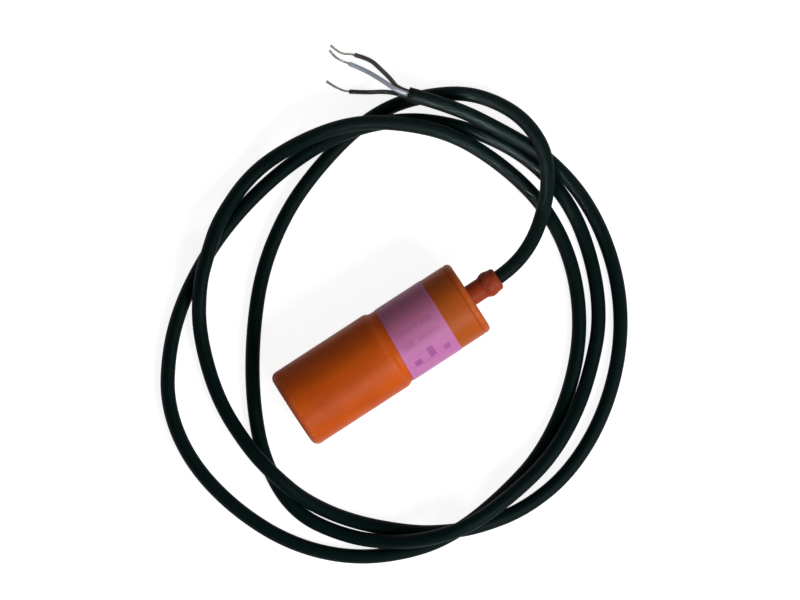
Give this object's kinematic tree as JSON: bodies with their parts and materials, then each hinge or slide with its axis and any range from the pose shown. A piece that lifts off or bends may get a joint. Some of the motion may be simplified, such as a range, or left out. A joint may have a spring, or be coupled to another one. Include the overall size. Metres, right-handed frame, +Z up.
{
  "type": "capacitive level sensor",
  "caption": "Cylindrical capacitive level sensor with a smooth plastic barrel, a label band, a moulded gland and a loosely looped free cable with bare wire ends.",
  "frame": {"origin": "on the surface under the middle of the barrel and gland, the sensor lying on its side", "axes": "+X along the barrel from the sensing face to the cable outlet, +Z up"},
  "size_m": [0.1965, 0.2027, 0.034],
  "materials": {
    "housing_plastic": "satin moulded plastic, orange",
    "gland_plastic": "satin moulded plastic, darker red-orange",
    "label_film": "satin film, dusty pink, with plain unlettered fields",
    "jacket_plastic": "satin extruded jacket, black",
    "core_brown_plastic": "satin insulation, dark brown",
    "core_blue_plastic": "satin insulation, pale blue-grey",
    "core_black_plastic": "satin insulation, black",
    "tinned_copper": "fine tinned strands",
    "seal_rubber": "matt black rubber",
    "window_plastic": "clear polished plastic",
    "crimp_brass": "bright brass",
    "copper_foil": "copper",
    "board_laminate": "green laminate",
    "chip_black": "black moulding",
    "chip_tan": "tan ceramic",
    "can_metal": "drawn can",
    "trimmer_plastic": "blue moulding",
    "lamp_plastic": "tinted clear moulding",
    "resin": "dark casting resin"
  },
  "bodies": {
    "sensor": {"sensor_housing": "housing_plastic", "rear_cover": "housing_plastic", "trimmer_plug": "housing_plastic", "cable_gland": "gland_plastic", "label_band": "label_film", "cable_jacket": "jacket_plastic", "cable_inner_length": "jacket_plastic", "core_brown": "core_brown_plastic", "inner_core_brown": "core_brown_plastic", "core_blue": "core_blue_plastic", "inner_core_blue": "core_blue_plastic", "core_black": "core_black_plastic", "inner_core_black": "core_black_plastic", "strands_brown": "tinned_copper", "strands_blue": "tinned_copper", "strands_black": "tinned_copper", "cover_seal_ring": "seal_rubber", "plug_seal_ring": "seal_rubber", "lamp_window": "window_plastic", "cable_crimp": "crimp_brass", "active_electrode": "copper_foil", "guard_ring": "copper_foil", "electrode_pin": "copper_foil", "guard_pin": "copper_foil", "screening_sleeve": "copper_foil", "circuit_board": "board_laminate", "electrode_carrier": "board_laminate", "oscillator_chip": "chip_black", "comparator_chip": "chip_black", "output_transistor": "chip_black", "suppressor_diode": "chip_black", "chip_resistors": "chip_black", "chip_capacitors": "chip_tan", "buffer_capacitor": "can_metal", "trimmer_body": "trimmer_plastic", "status_lamp": "lamp_plastic", "casting_resin": "resin"},
    "adjusting_screw": {"trimmer_screw": "crimp_brass"}
  },
  "joints": [
    {"name": "trimmer_turn", "type": "hinge", "parent": "sensor", "child": "adjusting_screw", "pos_m": [0.0185, -0.00819, 0.02], "axis": [1, 0, 0], "continuous": true}
  ]
}
